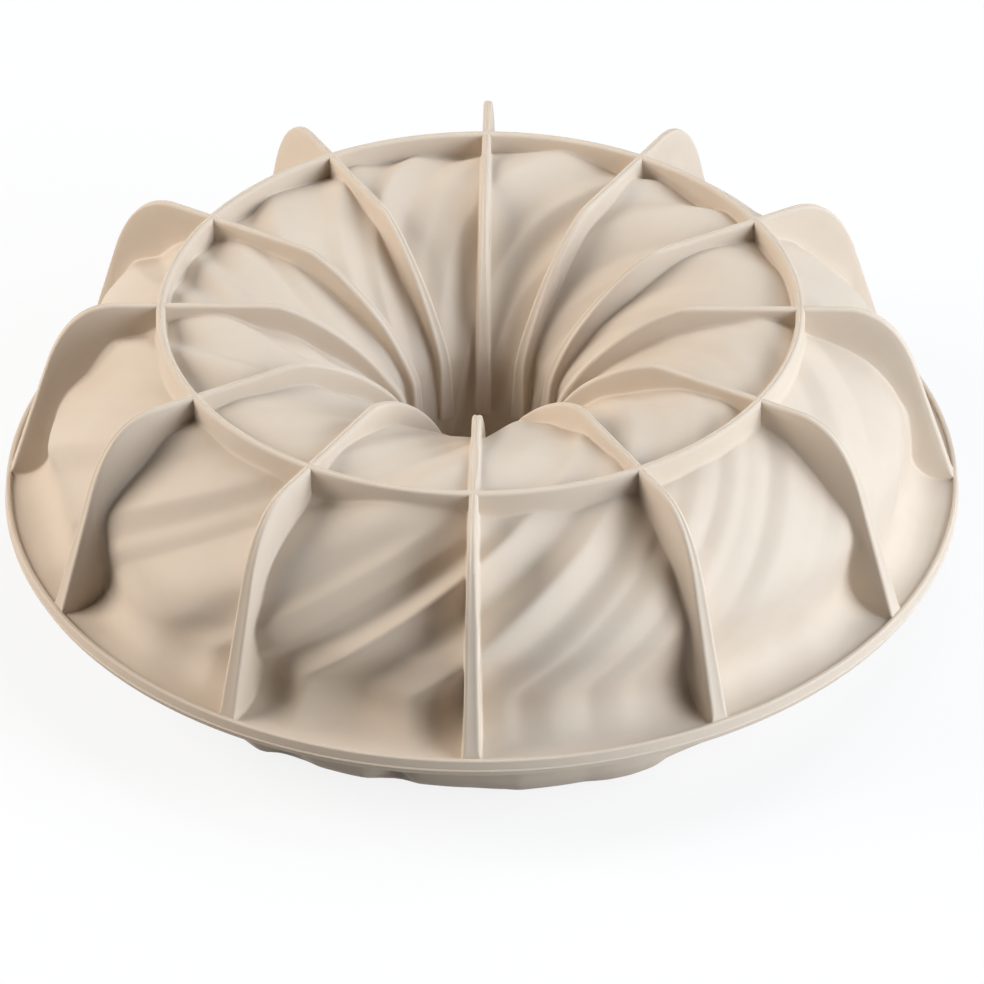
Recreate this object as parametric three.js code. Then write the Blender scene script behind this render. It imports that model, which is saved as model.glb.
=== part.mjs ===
// Silicone ring cake mould, mouth down: a swirled and fluted wall with a rim, a foot ring and ribs.
// Millimetres, +Z up. The origin is the centre of the plane that the mouth rests on.

import * as THREE from 'three';

// Upright side, lip and rim
const SIDE_DIAMETER = 222;      // upright side over the outside, mean of the folds
const LIP_CURL = 10;            // radius of the inward curl round the mouth
const LIP_FLAT = 4;             // width of the flat face that the mouth rests on
const RIM_HEIGHT = 24.1;        // top of the flange above the resting plane
const FLANGE_WIDTH = 14;        // from the mean side out to the edge of the rim
const FLANGE_THICKNESS = 2.6;
const FLANGE_FILLET = 9;        // between the flange and the side above it
const BEAD_WIDTH = 1.7;
const BEAD_HEIGHT = 5;
const BEAD_RISE = 0.9;          // bead above the top of the flange
const BEAD_CHAMFER_WIDTH = 0.5;

// Shoulder, crown and centre tube
const WALL_THICKNESS = 2.5;
const SHOULDER_HEIGHT = 43;     // where the upright side bends into the shoulder
const SHOULDER_PULL = 12;       // how long the side keeps upright as it bends
const CROWN_DIAMETER = 140;
const CROWN_HEIGHT = 73.5;      // mean of the folds
const CROWN_PULL_OUT = 16;      // how long the crown stays level, outwards
const CROWN_PULL_IN = 20;       // and inwards
const TUBE_TOP_DIAMETER = 44;
const TUBE_TOP_HEIGHT = 44;     // where the funnel becomes the tube
const TUBE_PULL = 10;           // how long the tube keeps its slope as it opens into the funnel
const TUBE_END_DIAMETER = 32;
const TUBE_END_HEIGHT = 5;

// Foot ring and ribs
const FOOT_RING_DIAMETER = 165; // middle of the ring's thickness
const FOOT_RING_THICKNESS = 2.4;
const FOOT_RISE = 3.4;          // foot ring's top above the mean crown
const RIB_COUNT = 12;
const RIB_EDGE_THICKNESS = 2.6;
const RIB_ROOT_THICKNESS = 3.4;
const OUTER_RIB_REACH = 2;      // corner of an outer rib, outside the mean side
const OUTER_RIB_DROP = 19;      // and below the foot ring's top
const OUTER_RIB_FLAT = 17;      // where the rib's level top begins, inside the mean side
const INNER_RIB_RISE = 6.5;     // inner rib above the funnel's wall
const INNER_RIB_TAIL_RISE = 2.5;
const INNER_RIB_TAIL_HEIGHT = 30;

// Folds: angle on the upright side, heights over the mean wall at the lip, on the side and on the crown, as
// shares of the tallest fold, and how sharp the crest or the crease is
const FOLD_HEIGHT = 4.4;          // tallest fold over the mean wall
const ROUND = 0;
const SOFT = 0.3;
const KEEN = 0.6;
const SHARP = 0.9;                // 1 would be a plain corner
const FOLDS = [
  [3, -0.55, 0.35, 0.4, SOFT], [12, -1, -0.3, -0.35, ROUND], [20.5, -0.55, 0.2, 0.25, KEEN],
  [29, -1, -0.25, -0.3, ROUND], [40.5, -0.35, 0.6, 0.55, SOFT], [51, -0.7, 0.1, 0.1, ROUND],
  [60.5, -1.15, -0.4, -0.4, SOFT], [69, -0.7, 0.1, 0.15, KEEN], [74, -1, -0.2, -0.2, ROUND],
  [81, -0.55, 0.2, 0.25, KEEN], [88, -0.9, -0.1, -0.15, ROUND], [100, -0.55, 0.25, 0.25, SOFT],
  [106, -1.1, -0.25, -0.3, KEEN], [112, -0.8, -0.05, -0.05, ROUND], [120, -1.15, -0.35, -0.35, KEEN],
  [125, -0.75, 0, 0.05, ROUND], [131, -1.1, -0.3, -0.3, SOFT], [137, -0.55, 0.3, 0.3, KEEN],
  [145, -0.7, 0.2, 0.2, ROUND], [151.5, -1.05, -0.1, -0.1, SOFT], [156.5, -0.4, 0.45, 0.45, SOFT],
  [165.5, -1.2, -0.35, -0.3, ROUND], [172, -0.9, -0.2, -0.2, ROUND], [183.5, -0.35, 0.5, 0.35, SOFT],
  [190.5, -0.8, 0.05, 0.05, ROUND], [200.5, -0.7, 0.2, 0.15, KEEN], [206, -1.1, -0.2, -0.2, SOFT],
  [208.5, -1, -0.15, -0.15, SOFT], [212, -1.15, -0.25, -0.3, KEEN], [224.5, -0.7, 0.55, 0.6, ROUND],
  [231, -0.7, 0.2, 0.5, ROUND], [234.5, -0.6, 0.55, 0.45, SHARP], [239.8, -0.1, -0.3, 0.1, KEEN],
  [243, -0.8, -0.5, 0, ROUND], [247.8, -0.3, 0.3, 0.2, SHARP], [254.8, -0.2, -0.8, -0.1, ROUND],
  [259.3, -1.1, -0.05, 0.15, KEEN], [262.3, -0.3, 0.5, 0.25, SOFT], [269, -0.2, -0.4, -0.05, ROUND],
  [274.3, -0.05, -0.05, 0.05, SOFT], [275.9, 0.05, -0.1, 0.05, KEEN], [280.3, 0, 0.2, 0.15, SOFT],
  [285, -0.05, -0.05, 0, SHARP], [288.9, 0.1, 0.1, 0.1, SOFT], [291.7, 0.1, -0.05, 0, SHARP],
  [294.2, 0, -0.05, 0, SOFT], [297.7, -0.4, -0.15, -0.05, KEEN], [302.5, -0.95, 0.15, 0.15, SOFT],
  [309, -0.95, 0.05, 0, ROUND], [312.8, -1.15, 0, -0.05, SOFT], [318.5, -0.8, 0.25, 0.25, SOFT],
  [328.5, -1.2, -0.15, -0.15, KEEN], [339.5, -0.7, 0.15, 0.2, SOFT], [349, -1.15, -0.15, -0.2, KEEN],
];
const CORNER_STEEPNESS = 1.5;     // slope at a plain corner, as a share of the mean slope beside it
const CROWN_FOLDS_DIAMETER = 196; // where the folds of the side begin to change into those of the crown
const SWIRL_LEAD_LENGTH = 537.3;  // along the wall, in which the folds would turn once round
const SWIRL_START_HEIGHT = 8.9;   // above the flange, where the folds begin to turn
const SWIRL_EASE_LENGTH = 6;      // over which they take up the full turn

// Clearances where two neighbours are bonded
const BOND_GAP = 0.3;
const FOOT_RING_SEAT_GAP = 0.5;   // under the foot ring, whose seat runs across the folds

// Facets
const COLUMN_STEP = 4;            // degrees between facets of a fold, about
const BEAD_COLUMNS = 96;
const SIDE_ROWS = 2;
const SHOULDER_ROWS = 5;
const LIP_ROWS = 3;
const FILLET_ROWS = 3;
const CROWN_ROWS = 3;
const FUNNEL_ROWS = 4;
const TUBE_ROWS = 2;
const OUTER_RIB_ROWS = 11;
const INNER_RIB_ROWS = 17;

const SILICONE = { color: 0xd3c6b3, roughness: 0.62, metalness: 0 };

// Worked-out sizes
const SIDE_RADIUS = SIDE_DIAMETER / 2;
const MOUTH_RADIUS = SIDE_RADIUS - LIP_CURL - LIP_FLAT;
const RIM_RADIUS = SIDE_RADIUS + FLANGE_WIDTH;
const BEAD_INNER_RADIUS = RIM_RADIUS - BEAD_WIDTH;
const CROWN_RADIUS = CROWN_DIAMETER / 2;
const TUBE_TOP_RADIUS = TUBE_TOP_DIAMETER / 2;
const TUBE_END_RADIUS = TUBE_END_DIAMETER / 2;
const RING_RADIUS = FOOT_RING_DIAMETER / 2;
const RING_INNER = RING_RADIUS - FOOT_RING_THICKNESS / 2;
const RING_OUTER = RING_RADIUS + FOOT_RING_THICKNESS / 2;

const toRadians = THREE.MathUtils.degToRad;
const FULL_TURN = 360;

// Mean line of the wall's visible face, from the mouth over the crown to the end of the tube
function meanProfile() {
  const path = new THREE.Path();
  const tubeSlope = (TUBE_TOP_RADIUS - TUBE_END_RADIUS) / (TUBE_TOP_HEIGHT - TUBE_END_HEIGHT);
  path.moveTo(MOUTH_RADIUS, 0);
  path.lineTo(MOUTH_RADIUS + LIP_FLAT, 0);
  path.absarc(MOUTH_RADIUS + LIP_FLAT, LIP_CURL, LIP_CURL, -Math.PI / 2, 0, false);
  path.lineTo(SIDE_RADIUS, SHOULDER_HEIGHT);
  path.bezierCurveTo(
    SIDE_RADIUS, SHOULDER_HEIGHT + SHOULDER_PULL,
    CROWN_RADIUS + CROWN_PULL_OUT, CROWN_HEIGHT,
    CROWN_RADIUS, CROWN_HEIGHT,
  );
  path.bezierCurveTo(
    CROWN_RADIUS - CROWN_PULL_IN, CROWN_HEIGHT,
    TUBE_TOP_RADIUS + tubeSlope * TUBE_PULL, TUBE_TOP_HEIGHT + TUBE_PULL,
    TUBE_TOP_RADIUS, TUBE_TOP_HEIGHT,
  );
  path.lineTo(TUBE_END_RADIUS, TUBE_END_HEIGHT);
  return path;
}

const PROFILE = meanProfile();
const PROFILE_LENGTH = PROFILE.getLength();

// Distances along the mean line
const CURL_END = LIP_FLAT + (Math.PI / 2) * LIP_CURL;
const CURL_MIDDLE = (LIP_FLAT + CURL_END) / 2;
const atSideHeight = (height) => CURL_END + height - LIP_CURL;
const SHOULDER_START = atSideHeight(SHOULDER_HEIGHT);
const TUBE_LENGTH = Math.hypot(TUBE_TOP_RADIUS - TUBE_END_RADIUS, TUBE_TOP_HEIGHT - TUBE_END_HEIGHT);
const TUBE_START = PROFILE_LENGTH - TUBE_LENGTH;
const SWIRL_FROM = atSideHeight(RIM_HEIGHT + SWIRL_START_HEIGHT);
const FLANGE_UNDERSIDE = atSideHeight(RIM_HEIGHT - FLANGE_THICKNESS);

// Distance along the mean line to a radius between the shoulder and the tube
function distanceAtRadius(radius) {
  let low = SHOULDER_START;
  let high = TUBE_START;
  for (let step = 0; step < 40; step += 1) {
    const middle = (low + high) / 2;
    if (PROFILE.getPoint(middle / PROFILE_LENGTH).x > radius) {
      low = middle;
    } else {
      high = middle;
    }
  }
  return low;
}

const RING_AT = distanceAtRadius(RING_RADIUS);
const FUNNEL_START = distanceAtRadius(CROWN_RADIUS - CROWN_PULL_IN);
const CROWN_FOLDS_FROM = distanceAtRadius(CROWN_FOLDS_DIAMETER / 2);

// Turn of the folds, in degrees, at a distance along the wall
function swirlAt(s) {
  const past = Math.max(0, s - SWIRL_FROM);
  const eased = past < SWIRL_EASE_LENGTH
    ? (past * past) / (2 * SWIRL_EASE_LENGTH)
    : past - SWIRL_EASE_LENGTH / 2;
  return (FULL_TURN * eased) / SWIRL_LEAD_LENGTH;
}

// Share of the fold height at an angle of the upright side, in degrees: 1 lip, 2 side, 3 crown
function foldShare(degrees, place) {
  const angle = THREE.MathUtils.euclideanModulo(degrees, FULL_TURN);
  const next = FOLDS.findIndex(([knot]) => knot > angle);
  const after = FOLDS[Math.max(next, 0)];
  const before = FOLDS.at(Math.max(next, 0) - 1);
  const width = THREE.MathUtils.euclideanModulo(after[0] - before[0], FULL_TURN);
  const t = THREE.MathUtils.euclideanModulo(angle - before[0], FULL_TURN) / width;
  const step = after[place] - before[place];
  const start = before.at(-1) * CORNER_STEEPNESS * step;
  const end = after.at(-1) * CORNER_STEEPNESS * step;
  return before[place] + t * (start + t * (3 * step - 2 * start - end + t * (start + end - 2 * step)));
}

// Angles of the facets: each knot of the folds, and even steps between them
function foldColumns() {
  return FOLDS.flatMap(([start], i) => {
    const end = i + 1 < FOLDS.length ? FOLDS[i + 1][0] : FOLDS[0][0] + FULL_TURN;
    const facets = Math.max(1, Math.round((end - start) / COLUMN_STEP));
    return Array.from({ length: facets }, (_, k) => start + ((end - start) * k) / facets);
  });
}

const COLUMNS = foldColumns();
const FOOT_HEIGHT = CROWN_HEIGHT + FOOT_RISE;

// Height of the folds at a distance along the wall and an angle round the mould, in degrees
function foldAt(s, degrees) {
  const angle = degrees - swirlAt(s);
  const radius = PROFILE.getPoint(s / PROFILE_LENGTH).x;
  const inward = Math.min(1, radius / RING_RADIUS);
  const fade = THREE.MathUtils.smoothstep(s, LIP_FLAT, CURL_MIDDLE);
  const above = THREE.MathUtils.smoothstep(s, CURL_END, FLANGE_UNDERSIDE);
  const crown = THREE.MathUtils.smoothstep(s, CROWN_FOLDS_FROM, RING_AT);
  const low = THREE.MathUtils.lerp(foldShare(angle, 1), foldShare(angle, 2), above);
  return FOLD_HEIGHT * inward * fade * THREE.MathUtils.lerp(low, foldShare(angle, 3), crown);
}

// Radius and height of the mean line, moved out along its normal
function offsetProfile(s, lift) {
  const point = PROFILE.getPoint(s / PROFILE_LENGTH);
  const tangent = PROFILE.getTangent(s / PROFILE_LENGTH);
  return new THREE.Vector2(point.x + tangent.y * lift, point.y - tangent.x * lift);
}

const wallAt = (s, degrees, offset) => offsetProfile(s, foldAt(s, degrees) + offset);

// Height of the wall under a point between the shoulder and the tube
function seatHeight(radius, degrees) {
  let low = SHOULDER_START;
  let high = TUBE_START;
  for (let step = 0; step < 40; step += 1) {
    const middle = (low + high) / 2;
    if (wallAt(middle, degrees, 0).x > radius) {
      low = middle;
    } else {
      high = middle;
    }
  }
  return wallAt(low, degrees, 0).y;
}

function polar(radius, degrees, height) {
  const angle = toRadians(degrees);
  return new THREE.Vector3(radius * Math.cos(angle), radius * Math.sin(angle), height);
}

const spread = (from, to, count) =>
  Array.from({ length: count + 1 }, (_, i) => THREE.MathUtils.lerp(from, to, i / count));

// Closed solid through a row of like sections: a ring that meets itself, or a bar with two ends
function loft(sections, isRing) {
  const around = sections[0].length;
  const points = sections.flat();
  const index = [];
  const spans = isRing ? sections.length : sections.length - 1;
  for (let i = 0; i < spans; i += 1) {
    const here = i * around;
    const there = ((i + 1) % sections.length) * around;
    for (let j = 0; j < around; j += 1) {
      const [a, b, c, d] = [here + j, there + j, there + ((j + 1) % around), here + ((j + 1) % around)];
      if (points[a].distanceTo(points[c]) < points[b].distanceTo(points[d])) {
        index.push(a, b, c, a, c, d);
      } else {
        index.push(a, b, d, b, c, d);
      }
    }
  }
  if (!isRing) {
    const last = (sections.length - 1) * around;
    for (let j = 1; j < around - 1; j += 1) {
      index.push(0, j, j + 1, last, last + j + 1, last + j);
    }
  }
  let volume = 0;
  for (let i = 0; i < index.length; i += 3) {
    const [a, b, c] = [points[index[i]], points[index[i + 1]], points[index[i + 2]]];
    volume += a.dot(b.clone().cross(c));
  }
  const geometry = new THREE.BufferGeometry().setFromPoints(points);
  geometry.setIndex(volume > 0 ? index : index.reverse());
  geometry.computeVertexNormals();
  return geometry;
}

const mould = new THREE.Group();

function addPart(name, geometry) {
  const mesh = new THREE.Mesh(geometry, new THREE.MeshStandardMaterial(SILICONE));
  mesh.name = name;
  mould.add(mesh);
}

// A length of the folded wall, between its visible face and the face towards the cake
function wallShell(stations) {
  return loft(COLUMNS.map((column) => {
    const faceAt = (offset) => stations.map((s) => {
      const degrees = column + swirlAt(s);
      const { x, y } = wallAt(s, degrees, offset);
      return polar(x, degrees, y);
    });
    return [...faceAt(0), ...faceAt(-WALL_THICKNESS).reverse()];
  }), true);
}

function addWalls() {
  const halfGap = BOND_GAP / 2;
  const rimSplit = atSideHeight(RIM_HEIGHT - FLANGE_THICKNESS / 2);
  addPart('mouth_lip', wallShell([0, ...spread(LIP_FLAT, CURL_END - halfGap, LIP_ROWS)]));
  addPart('lower_wall', wallShell([CURL_END + halfGap, FLANGE_UNDERSIDE, rimSplit - halfGap]));
  addPart('side_wall', wallShell([
    rimSplit + halfGap,
    ...spread(SWIRL_FROM, SHOULDER_START - halfGap, SIDE_ROWS),
  ]));
  addPart('shoulder_wall', wallShell(spread(SHOULDER_START + halfGap, RING_AT - halfGap, SHOULDER_ROWS)));
  addPart('crown_wall', wallShell(spread(RING_AT + halfGap, FUNNEL_START - halfGap, CROWN_ROWS)));
  addPart('funnel_wall', wallShell(spread(FUNNEL_START + halfGap, TUBE_START - halfGap, FUNNEL_ROWS)));
  addPart('centre_tube', wallShell(spread(TUBE_START + halfGap, PROFILE_LENGTH, TUBE_ROWS)));
}

// Flat end of the tube, under the lowest point of the tube's slanted edge
function addTubeCap() {
  const endHeightAt = (degrees) => wallAt(PROFILE_LENGTH, degrees, -WALL_THICKNESS).y;
  const top = Math.min(...COLUMNS.map(endHeightAt)) - BOND_GAP;
  const radius = TUBE_END_RADIUS + WALL_THICKNESS;
  const outline = [
    new THREE.Vector2(0, top - WALL_THICKNESS),
    new THREE.Vector2(radius - WALL_THICKNESS / 2, top - WALL_THICKNESS),
    new THREE.Vector2(radius, top - WALL_THICKNESS / 2),
    new THREE.Vector2(radius, top),
    new THREE.Vector2(0, top),
  ];
  const cap = new THREE.LatheGeometry(outline, BEAD_COLUMNS / 2);
  addPart('tube_cap', cap.rotateX(Math.PI / 2));
}

const sideRadiusAt = (degrees) => SIDE_RADIUS + FOLD_HEIGHT * foldShare(degrees, 2);
const FILLET_ROOM = BEAD_INNER_RADIUS - 2 * BOND_GAP - Math.max(...COLUMNS.map(sideRadiusAt));
const FILLET = Math.min(FLANGE_FILLET, FILLET_ROOM);

// Radius and height on the fillet, from the flange up to the side
function filletAt(side) {
  const middle = new THREE.Vector2(side + FILLET, RIM_HEIGHT + FILLET);
  return spread(0, Math.PI / 2, FILLET_ROWS).map((turn) => new THREE.Vector2(
    middle.x - FILLET * Math.sin(turn),
    middle.y - FILLET * Math.cos(turn),
  ));
}

function addFlange() {
  const bottom = RIM_HEIGHT - FLANGE_THICKNESS;
  const edge = BEAD_INNER_RADIUS - BOND_GAP;
  addPart('rim_flange', loft(COLUMNS.map((degrees) => {
    const side = sideRadiusAt(degrees) + BOND_GAP;
    return [
      polar(side, degrees, bottom),
      polar(edge, degrees, bottom),
      polar(edge, degrees, RIM_HEIGHT),
      ...filletAt(side).map(({ x, y }) => polar(x, degrees, y)),
    ];
  }), true));
}

function addBead() {
  const top = RIM_HEIGHT + BEAD_RISE;
  const bottom = top - BEAD_HEIGHT;
  const angles = spread(0, FULL_TURN, BEAD_COLUMNS).slice(0, BEAD_COLUMNS);
  addPart('rim_bead', loft(angles.map((degrees) => [
    polar(BEAD_INNER_RADIUS, degrees, bottom),
    polar(RIM_RADIUS - BEAD_CHAMFER_WIDTH, degrees, bottom),
    polar(RIM_RADIUS, degrees, bottom + BEAD_CHAMFER_WIDTH),
    polar(RIM_RADIUS, degrees, top - BEAD_CHAMFER_WIDTH),
    polar(RIM_RADIUS - BEAD_CHAMFER_WIDTH, degrees, top),
    polar(BEAD_INNER_RADIUS, degrees, top),
  ]), true));
}

// Upright ring whose lower edge follows the folds
function addFootRing() {
  addPart('foot_ring', loft(COLUMNS.map((column) => {
    const degrees = column + swirlAt(RING_AT);
    const middle = seatHeight(RING_RADIUS, degrees);
    const seatAt = (radius) => Math.max(middle, seatHeight(radius, degrees)) + FOOT_RING_SEAT_GAP;
    return [
      polar(RING_INNER, degrees, seatAt(RING_INNER)),
      polar(RING_OUTER, degrees, seatAt(RING_OUTER)),
      polar(RING_OUTER, degrees, FOOT_HEIGHT),
      polar(RING_INNER, degrees, FOOT_HEIGHT),
    ];
  }), true));
}

// Tallest fold under one half of a rib's root, near a distance along the wall
function foldUnder(s, degrees, half, reach) {
  const radius = PROFILE.getPoint(s / PROFILE_LENGTH).x;
  const turn = THREE.MathUtils.radToDeg(half / radius);
  const along = [s - reach, s, s + reach].map((at) => Math.min(at, PROFILE_LENGTH));
  return Math.max(...along.flatMap((at) => [0, 0.5, 1].map((k) => foldAt(at, degrees + k * turn))));
}

// Fin through matching points of its root and its free edge, in the plane of one angle
function ribLoft(degrees, rootAt, edge) {
  const toSpace = (point, across) => {
    const along = Math.sqrt(point.x * point.x - across * across);
    const reach = Math.hypot(along, across);
    return polar(reach, degrees + THREE.MathUtils.radToDeg(Math.asin(across / reach)), point.y);
  };
  const left = rootAt(-RIB_ROOT_THICKNESS / 2);
  const right = rootAt(RIB_ROOT_THICKNESS / 2);
  return loft(edge.map((point, i) => [
    toSpace(left[i], -RIB_ROOT_THICKNESS / 2),
    toSpace(right[i], RIB_ROOT_THICKNESS / 2),
    toSpace(point, RIB_EDGE_THICKNESS / 2),
    toSpace(point, -RIB_EDGE_THICKNESS / 2),
  ]), false);
}

// From the bead over the flange and its fillet, up the wall to the foot ring
function outerRib(degrees) {
  const toe = BEAD_INNER_RADIUS - BOND_GAP;
  const end = RING_OUTER + BOND_GAP;
  const wallStart = atSideHeight(RIM_HEIGHT + FILLET + BOND_GAP);
  const stations = spread(wallStart, distanceAtRadius(end), OUTER_RIB_ROWS).slice(1, -1);
  const reach = (stations[1] - stations[0]) / 2;
  const rootAt = (half) => {
    const turn = THREE.MathUtils.radToDeg(half / SIDE_RADIUS);
    const side = Math.max(sideRadiusAt(degrees), sideRadiusAt(degrees + turn)) + 2 * BOND_GAP;
    const seat = Math.max(seatHeight(end, degrees), seatHeight(end, degrees + turn));
    return [
      new THREE.Vector2(toe, RIM_HEIGHT + BOND_GAP),
      ...filletAt(side).map(({ x, y }) => new THREE.Vector2(x, y + BOND_GAP)),
      ...stations.map((s) => offsetProfile(s, foldUnder(s, degrees, half, reach) + BOND_GAP)),
      new THREE.Vector2(end, seat + BOND_GAP),
    ];
  };
  const corner = new THREE.Vector2(SIDE_RADIUS + OUTER_RIB_REACH, FOOT_HEIGHT - OUTER_RIB_DROP);
  const toeTop = new THREE.Vector2(toe, RIM_HEIGHT + BEAD_RISE);
  const slope = (toeTop.x - corner.x) / (corner.y - toeTop.y);
  const path = new THREE.Path();
  path.moveTo(toeTop.x, toeTop.y);
  path.lineTo(corner.x, corner.y);
  path.quadraticCurveTo(
    corner.x - slope * OUTER_RIB_DROP, FOOT_HEIGHT,
    SIDE_RADIUS - OUTER_RIB_FLAT, FOOT_HEIGHT,
  );
  path.lineTo(end, FOOT_HEIGHT);
  const count = rootAt(0).length - 1;
  return ribLoft(degrees, rootAt, spread(0, 1, count).map((t) => path.getPoint(t)));
}

// From the foot ring across the crown and down the funnel, running out on the tube
function innerRib(degrees) {
  const start = RING_INNER - BOND_GAP;
  const tail = TUBE_START + (TUBE_LENGTH * (TUBE_TOP_HEIGHT - INNER_RIB_TAIL_HEIGHT))
    / (TUBE_TOP_HEIGHT - TUBE_END_HEIGHT);
  const stations = spread(distanceAtRadius(start), tail, INNER_RIB_ROWS).slice(1);
  const reach = (stations[1] - stations[0]) / 2;
  const rootAt = (half) => {
    const turn = THREE.MathUtils.radToDeg(half / start);
    const seat = Math.max(seatHeight(start, degrees), seatHeight(start, degrees + turn));
    return [
      new THREE.Vector2(start, seat + BOND_GAP),
      ...stations.map((s) => offsetProfile(s, foldUnder(s, degrees, half, reach) + BOND_GAP)),
    ];
  };
  const edge = stations.map((s) => {
    const late = THREE.MathUtils.smoothstep(s, (stations[0] + tail) / 2, tail);
    const lift = THREE.MathUtils.lerp(INNER_RIB_RISE, INNER_RIB_TAIL_RISE, late);
    const fold = foldUnder(s, degrees, 0, reach) * late;
    const point = offsetProfile(s, fold + BOND_GAP + lift);
    return new THREE.Vector2(point.x, Math.min(point.y, FOOT_HEIGHT));
  });
  return ribLoft(degrees, rootAt, [new THREE.Vector2(start, FOOT_HEIGHT), ...edge]);
}

function addRibs() {
  for (let i = 0; i < RIB_COUNT; i += 1) {
    const number = String(i + 1).padStart(2, '0');
    const degrees = (FULL_TURN * i) / RIB_COUNT;
    addPart(`outer_rib_${number}`, outerRib(degrees));
    addPart(`inner_rib_${number}`, innerRib(degrees));
  }
}

addWalls();
addTubeCap();
addFlange();
addBead();
addFootRing();
addRibs();

export default mould;
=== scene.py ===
"""Silicone ring cake mould, mouth down: folded walls, rim, foot ring and ribs, dressed on the CAD frame."""

from math import cos, pi, radians, sin

import bpy
import numpy as np
from mathutils import Matrix, Vector


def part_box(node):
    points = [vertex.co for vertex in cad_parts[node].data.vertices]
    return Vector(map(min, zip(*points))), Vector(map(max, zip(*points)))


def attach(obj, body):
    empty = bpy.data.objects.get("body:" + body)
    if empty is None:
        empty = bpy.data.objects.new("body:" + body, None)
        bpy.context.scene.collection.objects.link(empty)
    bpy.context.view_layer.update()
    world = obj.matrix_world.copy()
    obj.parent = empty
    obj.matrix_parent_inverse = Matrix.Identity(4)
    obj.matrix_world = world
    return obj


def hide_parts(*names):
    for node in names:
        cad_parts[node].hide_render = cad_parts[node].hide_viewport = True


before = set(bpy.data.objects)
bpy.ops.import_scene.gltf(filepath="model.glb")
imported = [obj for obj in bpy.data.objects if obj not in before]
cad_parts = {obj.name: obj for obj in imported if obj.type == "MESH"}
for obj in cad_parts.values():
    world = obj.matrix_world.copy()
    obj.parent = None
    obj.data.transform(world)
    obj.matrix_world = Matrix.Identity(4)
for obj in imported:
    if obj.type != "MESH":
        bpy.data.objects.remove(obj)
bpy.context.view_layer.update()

bl_info = {
    "name": "Silicone cake mould",
    "version": (1, 0, 0),
    "blender": (4, 5, 0),
    "location": "3D View > Sidebar > Mould",
    "description": "Builds a folded silicone ring mould with its rim, foot ring and ribs",
    "category": "Object",
}

FOOT_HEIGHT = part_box("foot_ring")[1].z
RIM_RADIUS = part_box("rim_bead")[1].x
FULL_TURN = 360.0

# Mean line of the wall's visible face, in metres, as in the CAD part
SIDE_RADIUS = 0.111
LIP_CURL = 0.01
LIP_FLAT = 0.004
SHOULDER_HEIGHT = 0.043
SHOULDER_PULL = 0.012
CROWN_RADIUS = 0.07
CROWN_HEIGHT = 0.0735
CROWN_PULL_OUT = 0.016
CROWN_PULL_IN = 0.02
TUBE_TOP_RADIUS = 0.022
TUBE_TOP_HEIGHT = 0.044
TUBE_PULL = 0.01
TUBE_END_RADIUS = 0.016
TUBE_END_HEIGHT = 0.005
RIM_HEIGHT = 0.0241
RING_RADIUS = 0.0825
FLAT_SAMPLES = 80
LINE_SAMPLES = 400
CURVE_SAMPLES = 1200

# Flange and bead: the flange's edge is tucked into the bead, whose face has a fine moulding line
BEAD_WIDTH = 0.0017
BEAD_INNER_RADIUS = RIM_RADIUS - BEAD_WIDTH
FLANGE_EDGE_RADIUS = BEAD_INNER_RADIUS + 0.0006
FLANGE_UNDER_FILLET = 0.0012
FLANGE_FOLDS_END = FLANGE_EDGE_RADIUS - 0.0008
BEAD_FACE_INSET = 0.0003
BEAD_FACE_ROUNDING = 0.0005
BEAD_EDGE_ROUNDING = 0.0004
BEAD_FOOT_ROUNDING = 0.0003
BEAD_FOOT_STEP = 0.0012
BEAD_LINE_DROP = 0.0031
# Inset from the rim and rise over the line
BEAD_LINE = (
    (BEAD_FACE_INSET, 0.0004), (0.00005, 0.00015), (0.0, 0.0), (0.00005, -0.00012), (0.0005, -0.00035),
)

# Where the lip and the tube's end start and stop, and the rows of points along each section
MOUTH_EDGE = 0.0004
MOUTH_FLAT_FROM = 0.0012
TUBE_OUTER_STOP = 0.002
TUBE_INNER_STOP = 0.001
TUBE_FLOOR_INSET = 0.0015
MOUTH_ROWS = 3
LIP_ROWS = 24
UNDER_FILLET_ROWS = 4
UNDER_FLANGE_ROWS = 8
FLANGE_ROWS = 9
FILLET_ROWS = 8
SHOULDER_ROWS = 58
SIDE_CAVITY_ROWS = 46
CROWN_ROWS = 84
TUBE_ROWS = 16
CROWN_CAVITY_ROWS = 52
TUBE_FLOOR_ROWS = 7

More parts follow.
